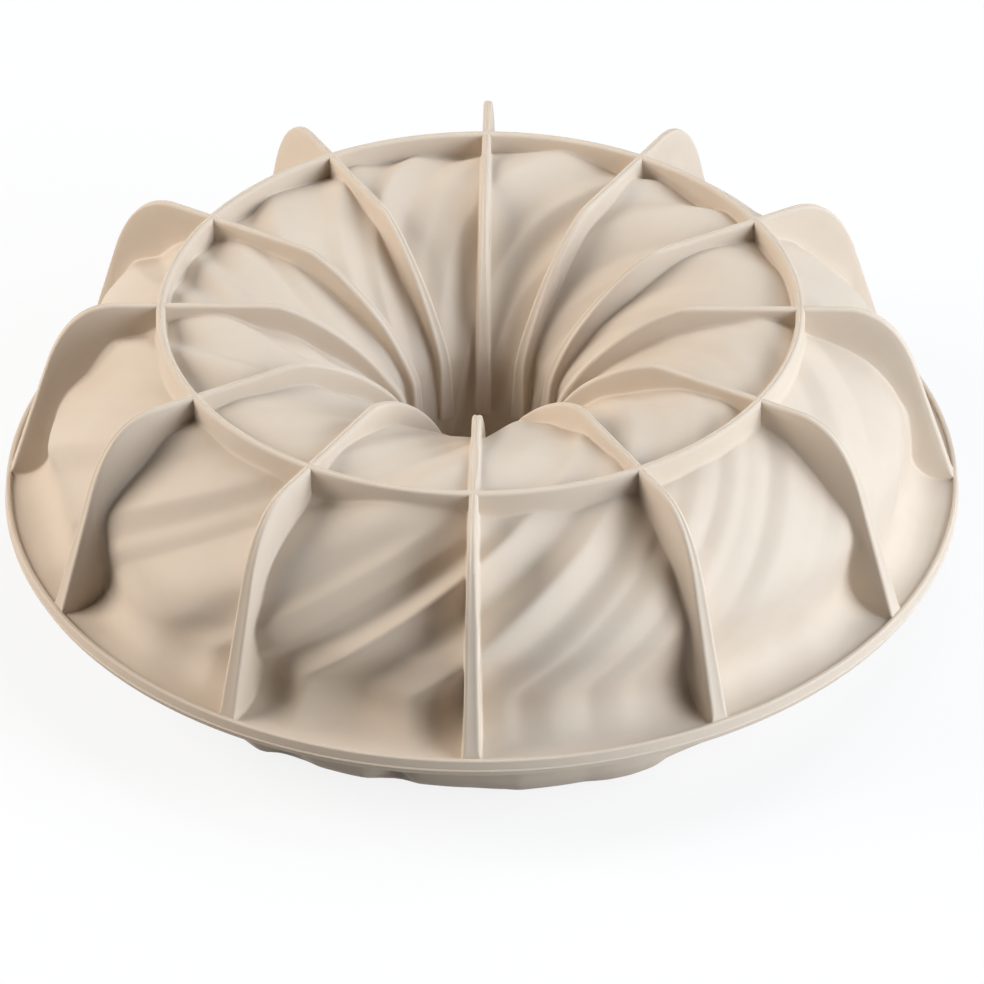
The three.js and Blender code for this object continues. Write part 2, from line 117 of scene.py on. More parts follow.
# Folds: angle on the upright side in degrees, heights over the mean wall at the lip, on the side and on the
# crown, as shares of the tallest fold, and how sharp the crest or the crease is
FOLD_HEIGHT = 0.0044
ROUND = 0.0
SOFT = 0.3
KEEN = 0.6
SHARP = 0.9
FOLDS = (
    (3, -0.55, 0.35, 0.4, SOFT), (12, -1, -0.3, -0.35, ROUND), (20.5, -0.55, 0.2, 0.25, KEEN),
    (29, -1, -0.25, -0.3, ROUND), (40.5, -0.35, 0.6, 0.55, SOFT), (51, -0.7, 0.1, 0.1, ROUND),
    (60.5, -1.15, -0.4, -0.4, SOFT), (69, -0.7, 0.1, 0.15, KEEN), (74, -1, -0.2, -0.2, ROUND),
    (81, -0.55, 0.2, 0.25, KEEN), (88, -0.9, -0.1, -0.15, ROUND), (100, -0.55, 0.25, 0.25, SOFT),
    (106, -1.1, -0.25, -0.3, KEEN), (112, -0.8, -0.05, -0.05, ROUND), (120, -1.15, -0.35, -0.35, KEEN),
    (125, -0.75, 0, 0.05, ROUND), (131, -1.1, -0.3, -0.3, SOFT), (137, -0.55, 0.3, 0.3, KEEN),
    (145, -0.7, 0.2, 0.2, ROUND), (151.5, -1.05, -0.1, -0.1, SOFT), (156.5, -0.4, 0.45, 0.45, SOFT),
    (165.5, -1.2, -0.35, -0.3, ROUND), (172, -0.9, -0.2, -0.2, ROUND), (183.5, -0.35, 0.5, 0.35, SOFT),
    (190.5, -0.8, 0.05, 0.05, ROUND), (200.5, -0.7, 0.2, 0.15, KEEN), (206, -1.1, -0.2, -0.2, SOFT),
    (208.5, -1, -0.15, -0.15, SOFT), (212, -1.15, -0.25, -0.3, KEEN), (224.5, -0.7, 0.55, 0.6, ROUND),
    (231, -0.7, 0.2, 0.5, ROUND), (234.5, -0.6, 0.4, 0.45, KEEN), (239.8, -0.1, 0.1, 0.1, KEEN),
    (243, -0.8, -0.5, 0, ROUND), (247.8, -0.3, 0.3, 0.2, SHARP), (254.8, -0.2, -0.8, -0.1, ROUND),
    (259.3, -1.1, -0.05, 0.15, KEEN), (262.3, -0.3, 0.5, 0.25, SOFT), (269, -0.2, -0.4, -0.05, ROUND),
    (274.3, -0.05, -0.05, 0.05, SOFT), (275.9, 0.05, -0.1, 0.05, KEEN), (280.3, 0, 0.2, 0.15, SOFT),
    (285, -0.05, -0.05, 0, SHARP), (288.9, 0.1, 0.1, 0.1, SOFT), (291.7, 0.1, -0.05, 0, SHARP),
    (294.2, 0, -0.05, 0, SOFT), (297.7, -0.4, -0.15, -0.05, KEEN), (302.5, -0.95, 0.15, 0.15, SOFT),
    (309, -0.95, 0.05, 0, ROUND), (312.8, -1.15, 0, -0.05, SOFT), (318.5, -0.8, 0.25, 0.25, SOFT),
    (328.5, -1.2, -0.15, -0.15, KEEN), (339.5, -0.7, 0.15, 0.2, SOFT), (349, -1.15, -0.15, -0.2, KEEN),
)
LIP_COLUMN = 1
SIDE_COLUMN = 2
CROWN_COLUMN = 3
CORNER_STEEPNESS = 1.5
CROWN_SOFTENING = 1.6
CROWN_FOLDS_FROM = 0.098
SWIRL_LEAD = 0.5373
SWIRL_START = 0.0089
FOLD_TABLE_STEP = 0.05
# Swells of the funnel alone: angle, half width in degrees, height
FUNNEL_SWELLS = ((221.0, 9.0, 0.0026),)
FUNNEL_SWELL_RADIUS = 0.037
FUNNEL_SWELL_FROM = 0.06

# Edges that turn by less are shaded smooth, in degrees
FOLDS_SMOOTH_ANGLE = 50.0
FINS_SMOOTH_ANGLE = 40.0

# Ribs
RIB_COUNT = 12
OUTER_RIB_REACH = 0.002
OUTER_RIB_DROP = 0.019
OUTER_RIB_FLAT = 0.017
OUTER_RIB_TOE_RADIUS = BEAD_INNER_RADIUS + 0.0002
INNER_RIB_RISE = 0.0065
INNER_RIB_TAIL_RISE = 0.0016
INNER_RIB_LIFT = 0.0003
INNER_RIB_BEND_RADIUS = 0.05
INNER_RIB_BEND_POWER = 1.6
INNER_RIB_TAIL_HEIGHT = 0.03
RIB_TOP = FOOT_HEIGHT - 0.00006
RIB_END_OVERLAP = 0.0006
# Points on an outer rib's free edge: its slope, its bend and its level top
OUTER_RIB_SLOPE_POINTS = 60
OUTER_RIB_BEND_POINTS = 120
OUTER_RIB_TOP_POINTS = 40
OUTER_RIB_STATIONS = 76
INNER_RIB_STATIONS = 96
RIB_SKIN_ROWS = 30
RIB_SKIN_STATIONS = 160

# Section of ribs and foot ring: its root sinks into the wall and follows the folds, its edge is rounded
FIN_SINK = 0.001
FIN_LEAST_HEIGHT = 0.0004
FIN_ROWS = 3
FIN_SKIN_DEPTH = 0.0005
FIN_SETTLED_SHARE = 0.7
FIN_SETTLED_FILLETS = 3.0
FIN_SETTLED_MOST = 0.007
FILLET_MOST = 0.4
FILLET_SPREAD = 0.7
FILLET_TURNS = (0.0, 18.0, 38.0, 60.0, 90.0)
ROUNDING_MOST = 0.3
ROUNDING_TURNS = (0.0, 30.0, 60.0, 90.0)
# Shares of the hollow's depth and of the edge's half width
HOLLOW_STEPS = ((0.6, 0.72), (1.0, 0.35))
RING_SECTION_HEIGHT = 0.005
RING_LEAST_ROOM = 0.0006
RING_LEAST_SHARE = 0.25
RING_SETTLED_SHARE = 0.6

# Stage: name, angle round the mould, rise above the floor, the setting with the power, and colour
LIGHTS = (
    ("right_softbox", 330.0, 14.0, "right_power", (0.96, 0.98, 1.0)),
    ("side_softbox", 347.0, 28.0, "side_power", (0.64, 0.81, 1.0)),
    ("left_softbox", 180.0, 28.0, "left_power", (1.0, 0.96, 0.91)),
    ("back_light", 60.0, 58.0, "back_power", (0.93, 0.97, 1.0)),
)
LIGHT_DISTANCE = 1.4
LIGHT_SIZE = 0.9
LIGHT_TARGET_HEIGHT = 0.04
FLOOR_SIZE = 6.0
FLOOR_GAP = 0.0002
FLOOR_GLOW = 0.85
WHITE = (1.0, 1.0, 1.0, 1.0)
FLOOR_PALE = (0.8, 0.8, 0.8, 1.0)
FLOOR_DIM = (0.3, 0.3, 0.3, 1.0)
SENSOR_WIDTH = 36.0
CAMERA_TARGET_HEIGHT = 0.025
CAMERA_TARGET_RIGHT = 0.00264
CAMERA_TARGET_DOWN = 0.00596
CAMERA_CLIP_END = 20.0


def smooth(low, high, value):
    share = np.clip((value - low) / (high - low), 0.0, 1.0)
    return share * share * (3.0 - 2.0 * share)


def straight(start, end, count):
    return np.linspace(start, end, count)


def arc(centre, radius, start, end, count):
    turn = np.radians(np.linspace(start, end, count))
    return np.column_stack([centre[0] + radius * np.cos(turn), centre[1] + radius * np.sin(turn)])


def quadratic(start, pull, end, count):
    t = np.linspace(0.0, 1.0, count)[:, None]
    a, b, c = (np.array(point) for point in (start, pull, end))
    return (1 - t) ** 2 * a + 2 * (1 - t) * t * b + t * t * c


def bezier(start, pull_a, pull_b, end, count):
    t = np.linspace(0.0, 1.0, count)[:, None]
    a, b, c, d = (np.array(point) for point in (start, pull_a, pull_b, end))
    return (1 - t) ** 3 * a + 3 * (1 - t) ** 2 * t * b + 3 * (1 - t) * t * t * c + t ** 3 * d


def lengths_along(points):
    """Distance along a polyline at each of its points."""
    return np.concatenate([[0.0], np.cumsum(np.hypot(*np.diff(points, axis=0).T))])


def values_at(at, steps, values):
    """Columns of values at new distances along a line."""
    if values.ndim == 1:
        return np.interp(at, steps, values)
    return np.column_stack([np.interp(at, steps, column) for column in values.T])


class WallLine:
    """The wall's mean line from the mouth to the tube's end, by distance along it."""

    def __init__(self):
        mouth = SIDE_RADIUS - LIP_CURL - LIP_FLAT
        slope = (TUBE_TOP_RADIUS - TUBE_END_RADIUS) / (TUBE_TOP_HEIGHT - TUBE_END_HEIGHT)
        shoulder = (SIDE_RADIUS, SHOULDER_HEIGHT)
        crown = (CROWN_RADIUS, CROWN_HEIGHT)
        tube_top = (TUBE_TOP_RADIUS, TUBE_TOP_HEIGHT)
        parts = [
            straight((mouth, 0.0), (mouth + LIP_FLAT, 0.0), FLAT_SAMPLES),
            arc((mouth + LIP_FLAT, LIP_CURL), LIP_CURL, -90, 0, LINE_SAMPLES),
            straight((SIDE_RADIUS, LIP_CURL), shoulder, LINE_SAMPLES),
            bezier(shoulder, (SIDE_RADIUS, SHOULDER_HEIGHT + SHOULDER_PULL),
                   (CROWN_RADIUS + CROWN_PULL_OUT, CROWN_HEIGHT), crown, CURVE_SAMPLES),
            bezier(crown, (CROWN_RADIUS - CROWN_PULL_IN, CROWN_HEIGHT),
                   (TUBE_TOP_RADIUS + slope * TUBE_PULL, TUBE_TOP_HEIGHT + TUBE_PULL),
                   tube_top, CURVE_SAMPLES),
            straight(tube_top, (TUBE_END_RADIUS, TUBE_END_HEIGHT), LINE_SAMPLES),
        ]
        self.points = np.vstack([parts[0]] + [part[1:] for part in parts[1:]])
        self.along = lengths_along(self.points)
        tangent = np.gradient(self.points, self.along, axis=0)
        tangent /= np.linalg.norm(tangent, axis=1)[:, None]
        self.normals = np.column_stack([tangent[:, 1], -tangent[:, 0]])
        self.length = self.along[-1]
        self.curl_end = LIP_FLAT + pi / 2 * LIP_CURL
        self.curl_middle = 0.5 * (LIP_FLAT + self.curl_end)
        self.tube_start = self.along[sum(len(part) - 1 for part in parts[:-1])]
        self.swirl_from = self.at_side(RIM_HEIGHT + SWIRL_START)
        self.ring_at = self.at_radius(RING_RADIUS)

    def at_side(self, height):
        """Distance at a height of the upright side."""
        return self.curl_end + height - LIP_CURL

    def at_radius(self, radius):
        """Distance at a radius between the shoulder and the tube."""
        upper = self.along >= self.at_side(SHOULDER_HEIGHT)
        return float(np.interp(-radius, -self.points[upper, 0], self.along[upper]))

    def at_tube(self, height):
        """Distance at a height of the centre tube."""
        share = (TUBE_TOP_HEIGHT - height) / (TUBE_TOP_HEIGHT - TUBE_END_HEIGHT)
        return self.tube_start + share * (self.length - self.tube_start)

    def point(self, s):
        return values_at(s, self.along, self.points)

    def normal(self, s):
        return values_at(s, self.along, self.normals)


LINE = WallLine()


def fold_table(column, softness):
    """Heights of the folds over one turn of the upright side, with the corners rounded."""
    angle = np.arange(0.0, FULL_TURN, FOLD_TABLE_STEP)
    knot = np.array([row[0] for row in FOLDS])
    height = FOLD_HEIGHT * np.array([row[column] for row in FOLDS])
    sharp = CORNER_STEEPNESS * np.array([row[-1] for row in FOLDS])
    after = np.searchsorted(knot, angle, side="right") % len(knot)
    before = (after - 1) % len(knot)
    t = ((angle - knot[before]) % FULL_TURN) / ((knot[after] - knot[before]) % FULL_TURN)
    step = height[after] - height[before]
    start = sharp[before] * step
    end = sharp[after] * step
    fold = height[before] + t * (start + t * (3 * step - 2 * start - end + t * (start + end - 2 * step)))
    turns = np.fft.rfftfreq(len(angle), FOLD_TABLE_STEP)
    rounding = np.exp(-2.0 * (pi * turns * softness) ** 2)
    table = np.fft.irfft(np.fft.rfft(fold) * rounding, len(angle))
    return np.append(table, table[0])


class FoldedWall:
    """The folded wall: its heights over the mean line and its points."""

    def __init__(self, walls):
        self.walls = walls
        lip = fold_table(LIP_COLUMN, walls.crease_softness)
        side = fold_table(SIDE_COLUMN, walls.crease_softness)
        crown = fold_table(CROWN_COLUMN, CROWN_SOFTENING * walls.crease_softness)
        funnel = crown.copy()
        self.angles = np.arange(len(side)) * FOLD_TABLE_STEP
        for angle, width, height in FUNNEL_SWELLS:
            bell = np.exp(-((self.angles - angle) / width) ** 2)
            funnel += height * RING_RADIUS / FUNNEL_SWELL_RADIUS * bell
        self.tables = (lip, side, crown, funnel)

    def swirl(self, s):
        """Turn of the folds in degrees, which eases in above the flange."""
        past = np.maximum(0.0, s - LINE.swirl_from)
        ease = self.walls.swirl_ease
        eased = np.where(past < ease, past * past / (2.0 * ease), past - ease / 2.0)
        return FULL_TURN * eased / SWIRL_LEAD

    def fold(self, degrees, blend):
        """Height at an angle of the upright side; blend: 0 lip, 1 side, 2 crown, 3 funnel."""
        turn = np.mod(degrees, FULL_TURN)
        height = [np.interp(turn, self.angles, table) for table in self.tables]
        total = height[0]
        for step in range(len(height) - 1):
            total = total + (height[step + 1] - height[step]) * np.clip(blend - step, 0.0, 1.0)
        return total

    def share(self, s):
        radius = LINE.point(s)[:, 0]
        return np.minimum(1.0, radius / RING_RADIUS) * smooth(LIP_FLAT, LINE.curl_middle, s)

    def blend(self, s):
        flange = LINE.at_side(RIM_HEIGHT - self.walls.flange_thickness)
        swell = smooth(LINE.at_radius(FUNNEL_SWELL_FROM), LINE.at_radius(FUNNEL_SWELL_RADIUS), s)
        crown = smooth(LINE.at_radius(CROWN_FOLDS_FROM), LINE.ring_at, s)
        return smooth(LINE.curl_end, flange, s) + crown + swell

    def rows_along(self, s, lift=0.0):
        """Section rows on the mean line, or at a distance over it."""
        normal = LINE.normal(s)
        return Rows(self, LINE.point(s) + lift * normal, normal, normal, self.share(s), self.blend(s),
                    self.swirl(s))

    def level_rows(self, place, normal, share):
        """Section rows on the flange and its fillets, where the folds are upright and go outwards."""
        count = len(place)
        outward = np.tile([1.0, 0.0], (count, 1))
        return Rows(self, place, outward, normal, share, np.ones(count), np.zeros(count))

    def upper_rows(self, flange_count, fillet_count, stations):
        """Rows over the flange's top, up the fillet and along the wall."""
        fillet = self.walls.flange_fillet
        centre = (SIDE_RADIUS + fillet, RIM_HEIGHT + fillet)
        flat = straight((FLANGE_EDGE_RADIUS, RIM_HEIGHT), (centre[0], RIM_HEIGHT), flange_count)[:-1]
        curve = arc(centre, fillet, -90, -180, fillet_count)[:-1]
        up = np.tile([0.0, 1.0], (len(flat), 1))
        towards = (np.array(centre) - curve) / fillet
        share = (FLANGE_EDGE_RADIUS - flat[:, 0]) / (FLANGE_EDGE_RADIUS - centre[0])
        low = self.level_rows(np.vstack([flat, curve]), np.vstack([up, towards]),
                              np.concatenate([share, np.ones(len(curve))]))
        return low.joined(self.rows_along(stations))

    def height_under(self, radius, degrees, rounds=25, pace=0.8):
        """Height of the wall under points between the shoulder and the tube, found step by step."""
        s = np.full(np.shape(radius), LINE.ring_at)
        for _ in range(rounds):
            place = self.rows_along(s).at(degrees)
            s = s + pace * (place[:, 0] - radius)
        return place[:, 1]


class Rows:
    """Rows of a section: place, direction of the folds, surface normal, their share, blend and turn."""

    def __init__(self, wall, *columns):
        self.wall = wall
        self.columns = columns
        self.place, self.direction, self.normal, self.share, self.blend, self.turn = columns

    def joined(self, other):
        return Rows(self.wall, *[np.concatenate(pair) for pair in zip(self.columns, other.columns)])

    def taken(self, index):
        return Rows(self.wall, *[column[index] for column in self.columns])

    def folds(self, degrees):
        return self.wall.fold(degrees - self.turn, self.blend) * self.share

    def at(self, degrees):
        """Radius and height at an angle round the mould, one angle for each row."""
        return self.place + self.direction * self.folds(degrees)[:, None]

    def evenly(self, degrees, count):
        """Rows picked evenly along the surface at one angle."""
        steps = lengths_along(self.at(np.full(len(self.share), degrees)))
        at = np.linspace(0.0, steps[-1], count)
        return Rows(self.wall, *[values_at(at, steps, column) for column in self.columns])


def deselect_all():
    if bpy.context.object and bpy.context.object.mode != "OBJECT":
        bpy.ops.object.mode_set(mode="OBJECT")
    bpy.ops.object.select_all(action="DESELECT")


def named(name):
    """The object that an operator has just added, with its name on its mesh too."""
    piece = bpy.context.object
    piece.name = name
    piece.data.name = name
    return piece


def coordinates(piece):
    flat = np.empty(len(piece.data.vertices) * 3)
    piece.data.vertices.foreach_get("co", flat)
    return flat.reshape(-1, 3)


def move_to(piece, places):
    piece.data.vertices.foreach_set("co", np.asarray(places, np.float32).ravel())
    piece.data.update()


def move_round(piece, radius, degrees, height):
    """Moves each vertex to its radius, angle round the mould and height."""
    turn = np.radians(degrees)
    move_to(piece, np.column_stack([radius * np.cos(turn), radius * np.sin(turn), height]))


def open_section(piece):
    """Deletes the edge between the last and the first point of a section."""
    ends = {0, len(piece.data.vertices) - 1}
    for edge in piece.data.edges:
        edge.select = set(edge.vertices) == ends
    for vertex in piece.data.vertices:
        vertex.select = vertex.index in ends
    bpy.ops.object.mode_set(mode="EDIT")
    bpy.ops.mesh.select_mode(type="EDGE")
    bpy.ops.mesh.delete(type="EDGE")
    bpy.ops.object.mode_set(mode="OBJECT")


def spin_section(name, section, steps, is_open=False):
    """A ring of points in the plane of X and Z, spun once round the Z axis into a closed solid."""
    deselect_all()
    bpy.ops.mesh.primitive_circle_add(vertices=len(section), radius=0.01, fill_type="NOTHING")
    piece = named(name)
    move_round(piece, section[:, 0], np.zeros(len(section)), section[:, 1])
    if is_open:
        open_section(piece)
    bpy.ops.object.mode_set(mode="EDIT")
    bpy.ops.mesh.select_mode(type="VERT")
    bpy.ops.mesh.select_all(action="SELECT")
    bpy.ops.mesh.spin(steps=steps, angle=2.0 * pi, center=(0.0, 0.0, 0.0), axis=(0.0, 0.0, 1.0))
    bpy.ops.mesh.select_all(action="SELECT")
    bpy.ops.mesh.remove_doubles(threshold=2e-6)
    bpy.ops.mesh.normals_make_consistent(inside=False)
    bpy.ops.object.mode_set(mode="OBJECT")
    return piece


def row_of_each(piece, section, batch=20000):
    """Which point of the section each vertex of a spun piece came from, and its angle."""
    places = coordinates(piece)
    flat = np.column_stack([np.hypot(places[:, 0], places[:, 1]), places[:, 2]])
    rows = np.empty(len(flat), int)
    for start in range(0, len(flat), batch):
        part = flat[start:start + batch]
        gap = ((part[:, None, :] - section[None, :, :]) ** 2).sum(axis=2)
        rows[start:start + batch] = gap.argmin(axis=1)
    return rows, np.degrees(np.arctan2(places[:, 1], places[:, 0]))


def fold_spun_piece(piece, rows):
    """Moves a spun piece's vertices out to the folds, and turns each row with the swirl."""
    index, column = row_of_each(piece, rows.place)
    each = rows.taken(index)
    angle = column + each.turn
    flat = each.at(angle)
    move_round(piece, flat[:, 0], angle, flat[:, 1])


def finish_piece(piece, nodes, smooth_angle=FINS_SMOOTH_ANGLE):
    """Shades a piece, gives it its material and ties it to the frame."""
    deselect_all()
    piece.select_set(True)
    bpy.context.view_layer.objects.active = piece
    bpy.ops.object.shade_smooth_by_angle(angle=radians(smooth_angle))
    piece.data.materials.clear()
    piece.data.materials.append(silicone_material())
    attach(piece, "root")
    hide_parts(*nodes)


class Wire:
    """One output of a shader node, so that shader maths reads as plain expressions."""

    def __init__(self, tree, socket=None):
        self.tree = tree
        self.socket = socket

    def node(self, kind, settings=None, inputs=None, output=0):
        made = self.tree.nodes.new(kind)
        for name, value in (settings or {}).items():
            if name == "stops":
                for element, (place, colour) in zip(made.color_ramp.elements, value):
                    element.position = place
                    element.color = colour
            else:
                setattr(made, name, value)
        for name, value in (inputs or {}).items():
            if isinstance(value, Wire):
                self.tree.links.new(value.socket, made.inputs[name])
            else:
                made.inputs[name].default_value = value
        return Wire(self.tree, made.outputs[output] if len(made.outputs) else None)

    def maths(self, operation, first, second):
        return self.node("ShaderNodeMath", {"operation": operation}, {0: first, 1: second})

    def __add__(self, other):
        return self.maths("ADD", self, other)

    def __radd__(self, other):
        return self.maths("ADD", other, self)

    def __sub__(self, other):
        return self.maths("SUBTRACT", self, other)

    def __rsub__(self, other):
        return self.maths("SUBTRACT", other, self)

    def __mul__(self, other):
        return self.maths("MULTIPLY", self, other)

    def __rmul__(self, other):
        return self.maths("MULTIPLY", other, self)

    def __lt__(self, other):
        return self.maths("LESS_THAN", self, other)

    def __gt__(self, other):
        return self.maths("GREATER_THAN", self, other)


def new_tree(owner):
    owner.use_nodes = True
    owner.node_tree.nodes.clear()
    return Wire(owner.node_tree)


def silicone_material():
    """Matte beige silicone: faint clouding, a fine moulded grain and a little dust."""
    known = bpy.data.materials.get("beige_silicone")
    if known:
        return known
    finish = bpy.context.scene.mould_finish
    material = bpy.data.materials.new("beige_silicone")
    tree = new_tree(material)
    place = tree.node("ShaderNodeTexCoord", output="Object")
    dust_size = 0.035
    dust_patches = 0.56
    dust_cover = 0.35
    dust_roughness = 0.1
    roughness_spread = 0.16
    cloud_share = 0.6
    grain_share = 0.55
    deep_below = 0.3
    pale_above = 0.7

    def noise(scale, detail, roughness=0.5):
        return tree.node("ShaderNodeTexNoise", {}, {
            "Vector": place, "Scale": scale, "Detail": detail, "Roughness": roughness})

    cloud = noise(scale=22.0, detail=3.0)
    mottle = noise(scale=170.0, detail=4.0, roughness=0.6)
    grain = noise(scale=1500.0, detail=2.0)
    dimple = noise(scale=420.0, detail=3.0)
    dust = tree.node("ShaderNodeTexVoronoi", {}, {"Vector": place, "Scale": 230.0}, "Distance")
    dust_pick = noise(scale=60.0, detail=2.0)
    speck = (dust < dust_size) * (dust_pick > dust_patches)
    tone = cloud * cloud_share + mottle * (1.0 - cloud_share)
    shade = tree.node("ShaderNodeValToRGB", {"stops": (
        (deep_below, tuple(finish.deep_colour) + (1.0,)),
        (pale_above, tuple(finish.pale_colour) + (1.0,)),
    )}, {"Fac": tone})
    dusty = tree.node("ShaderNodeMix", {"data_type": "RGBA"}, {
        0: speck * dust_cover, 6: shade, 7: tuple(finish.dust_colour) + (1.0,)}, 2)
    roughness = finish.roughness + (mottle - 0.5) * roughness_spread + speck * dust_roughness
    relief = grain * grain_share + dimple * (1.0 - grain_share)
    bump = tree.node("ShaderNodeBump", {}, {
        "Strength": finish.grain_strength, "Distance": finish.grain_depth, "Height": relief})
    shader = tree.node("ShaderNodeBsdfPrincipled", {}, {
        "Base Color": dusty, "Roughness": roughness, "Normal": bump,
        "Specular IOR Level": 0.25, "IOR": 1.41,
        "Subsurface Weight": finish.translucency, "Subsurface Radius": (1.0, 0.62, 0.42),
        "Subsurface Scale": 0.003, "Sheen Weight": 0.06, "Sheen Roughness": 0.6})
    tree.node("ShaderNodeOutputMaterial", {}, {"Surface": shader})
    return material


def length(name, description, default):
    return bpy.props.FloatProperty(name=name, description=description, default=default,
                                   unit="LENGTH", subtype="DISTANCE", precision=5)


def part_of_one(name, description, default):
    return bpy.props.FloatProperty(name=name, description=description, default=default, subtype="FACTOR")


def colour_of(name, description, default):
    return bpy.props.FloatVectorProperty(name=name, description=description, default=default,
                                         subtype="COLOR", min=0.0, max=1.0)


def angle_of(name, description, degrees):
    return bpy.props.FloatProperty(name=name, description=description, default=radians(degrees),
                                   subtype="ANGLE")


def power_of(name, description, default):
    return bpy.props.FloatProperty(name=name, description=description, default=default, unit="POWER")


class MouldWallSizes(bpy.types.PropertyGroup):
    wall_thickness: length("Wall thickness", "Thickness of the folded silicone wall", 0.0025)
    flange_thickness: length("Flange thickness", "Thickness of the flat rim flange", 0.0026)
    flange_fillet: length("Flange fillet", "Radius between the flange and the wall above it", 0.009)
    swirl_ease: length("Swirl ease", "Length over which the folds take up their slant", 0.004)
    crease_softness: bpy.props.FloatProperty(
        name="Crease softness", description="Rounding of the creases, in degrees of turn", default=0.4)
    side_columns: bpy.props.IntProperty(
        name="Side columns", description="Facets round the side and the rim", default=600)
    crown_columns: bpy.props.IntProperty(
        name="Crown columns", description="Facets round the crown and the funnel", default=480)


class MouldRibSizes(bpy.types.PropertyGroup):
    edge_thickness: length("Edge thickness", "Thickness of ribs and foot ring at the foot plane", 0.0023)
    draft: bpy.props.FloatProperty(
        name="Draft", description="Thickness that a rib gains for each metre under the foot plane",
        default=0.042)
    edge_rounding: length("Edge rounding", "Radius of the free edges", 0.0008)
    edge_hollow: length("Edge hollow", "Depth of the shallow hollow between the free edges", 0.00014)
    root_fillet: length("Root fillet", "Radius between a rib and the wall", 0.0006)


class MouldFinish(bpy.types.PropertyGroup):
    pale_colour: colour_of("Pale beige", "Lighter tone of the silicone", (0.62, 0.52, 0.42))
    deep_colour: colour_of("Deep beige", "Darker tone of the silicone", (0.585, 0.48, 0.38))
    dust_colour: colour_of("Dust", "Colour of fine dust on the surface", (0.82, 0.79, 0.74))
    roughness: part_of_one("Roughness", "Matte finish of the silicone", 0.56)
    translucency: part_of_one("Translucency", "Share of light that spreads under the surface", 0.04)
    grain_strength: part_of_one("Grain strength", "Strength of the moulded grain", 0.12)
    grain_depth: length("Grain depth", "Depth of the moulded grain", 0.0002)


class MouldStage(bpy.types.PropertyGroup):
    camera_turn: angle_of("Camera turn", "Angle of the camera round the mould", 1.34)
    camera_rise: angle_of("Camera rise", "Angle of the camera above the floor", 35.655)
    camera_roll: angle_of("Camera roll", "Tilt of the picture", -0.43)
    camera_distance: length("Camera distance", "From the mould to the camera", 1.8193)
    camera_lens: bpy.props.FloatProperty(
        name="Camera lens", description="Focal length on a 36 mm frame, in millimetres", default=253.76)
    right_power: power_of("Right softbox", "Power of the light from the front right", 18.0)
    side_power: power_of("Side softbox", "Power of the cool light from the right", 14.0)
    left_power: power_of("Left softbox", "Power of the light from the left", 22.5)
    back_power: power_of("Back light", "Power of the light from behind", 9.5)


class MOULD_OT_folded_side(bpy.types.Operator):
    """Lip, upright side, flange and shoulder, up to the foot ring"""
    bl_idname = "mould.folded_side"
    bl_label = "Folded side and flange"

    def execute(self, context):
        walls = context.scene.mould_walls
        wall = FoldedWall(walls)
        under = RIM_HEIGHT - walls.flange_thickness
        corner_radius = SIDE_RADIUS + FLANGE_UNDER_FILLET
        corner_height = under - FLANGE_UNDER_FILLET
        lip = wall.rows_along(np.concatenate([
            [MOUTH_EDGE], np.linspace(MOUTH_FLAT_FROM, LIP_FLAT, MOUTH_ROWS)[:-1],
            np.linspace(LIP_FLAT, LINE.at_side(corner_height), LIP_ROWS)]))
        corner = arc((corner_radius, corner_height), FLANGE_UNDER_FILLET, 180, 90, UNDER_FILLET_ROWS)[1:]
        below = straight((corner_radius, under), (FLANGE_EDGE_RADIUS, under), UNDER_FLANGE_ROWS)[1:]
        share = 1.0 - smooth(corner_radius, FLANGE_FOLDS_END, below[:, 0])
        down = np.tile([0.0, -1.0], (len(corner) + len(below), 1))
        flange = wall.level_rows(np.vstack([corner, below]), down,
                                 np.concatenate([np.ones(len(corner)), share]))
        fillet_end = LINE.at_side(RIM_HEIGHT + walls.flange_fillet)
        top = wall.upper_rows(FLANGE_ROWS, FILLET_ROWS, np.linspace(fillet_end, LINE.ring_at, SHOULDER_ROWS))
        cavity = wall.rows_along(np.concatenate([
            np.linspace(LINE.ring_at, LIP_FLAT, SIDE_CAVITY_ROWS),
            np.linspace(LIP_FLAT, MOUTH_EDGE, MOUTH_ROWS)[1:]]), -walls.wall_thickness)
        rows = lip.joined(flange).joined(top).joined(cavity)
        piece = spin_section("silicone_side", rows.place, walls.side_columns)
        fold_spun_piece(piece, rows)
        nodes = ("mouth_lip", "lower_wall", "side_wall", "shoulder_wall", "rim_flange")
        finish_piece(piece, nodes, FOLDS_SMOOTH_ANGLE)
        return {"FINISHED"}


